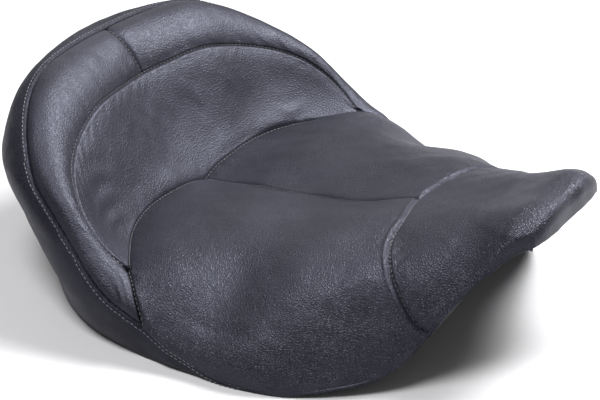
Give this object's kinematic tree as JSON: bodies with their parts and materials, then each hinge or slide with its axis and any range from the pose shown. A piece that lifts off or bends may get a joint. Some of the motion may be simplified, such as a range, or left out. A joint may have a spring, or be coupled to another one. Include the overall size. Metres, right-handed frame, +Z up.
{
  "type": "motorcycle seat",
  "caption": "Deep-bucket solo motorcycle seat: leather cover in sewn panels over two foam blocks, a moulded pan and its under-pan hardware.",
  "frame": {"origin": "middle of the bounding box, at the level of the lowest edge that the seat stands on", "axes": "-Y towards the nose, which is the way the rider faces; +Z up; -X to the rider's right"},
  "size_m": [0.4632, 0.5552, 0.1893],
  "materials": {
    "leather": "black upholstery leather with a soft satin pebble grain",
    "thread": "black bonded polyester thread",
    "foam": "moulded open-cell polyurethane foam",
    "pan_plastic": "black moulded polypropylene with a fine texture",
    "steel": "black powder-coated steel",
    "zinc": "zinc-plated steel",
    "rubber": "black moulded rubber"
  },
  "bodies": {
    "root": {"nose_panel": "leather", "right_thigh_panel": "leather", "left_thigh_panel": "leather", "backrest_panel": "leather", "right_bolster_panel": "leather", "left_bolster_panel": "leather", "side_band": "leather", "cover_hem": "leather", "centre_seam_thread": "thread", "nose_seam_thread": "thread", "thigh_seam_thread": "thread", "lumbar_seam_thread": "thread", "edge_seam_thread": "thread", "cross_seam_thread": "thread", "saddle_foam": "foam", "backrest_foam": "foam", "base_pan": "pan_plastic", "front_tongue": "steel", "rear_bracket": "steel", "bracket_rivets": "zinc", "bumper_screws": "zinc", "hem_staples": "zinc", "front_bumpers": "rubber", "rear_bumpers": "rubber"}
  },
  "joints": []
}
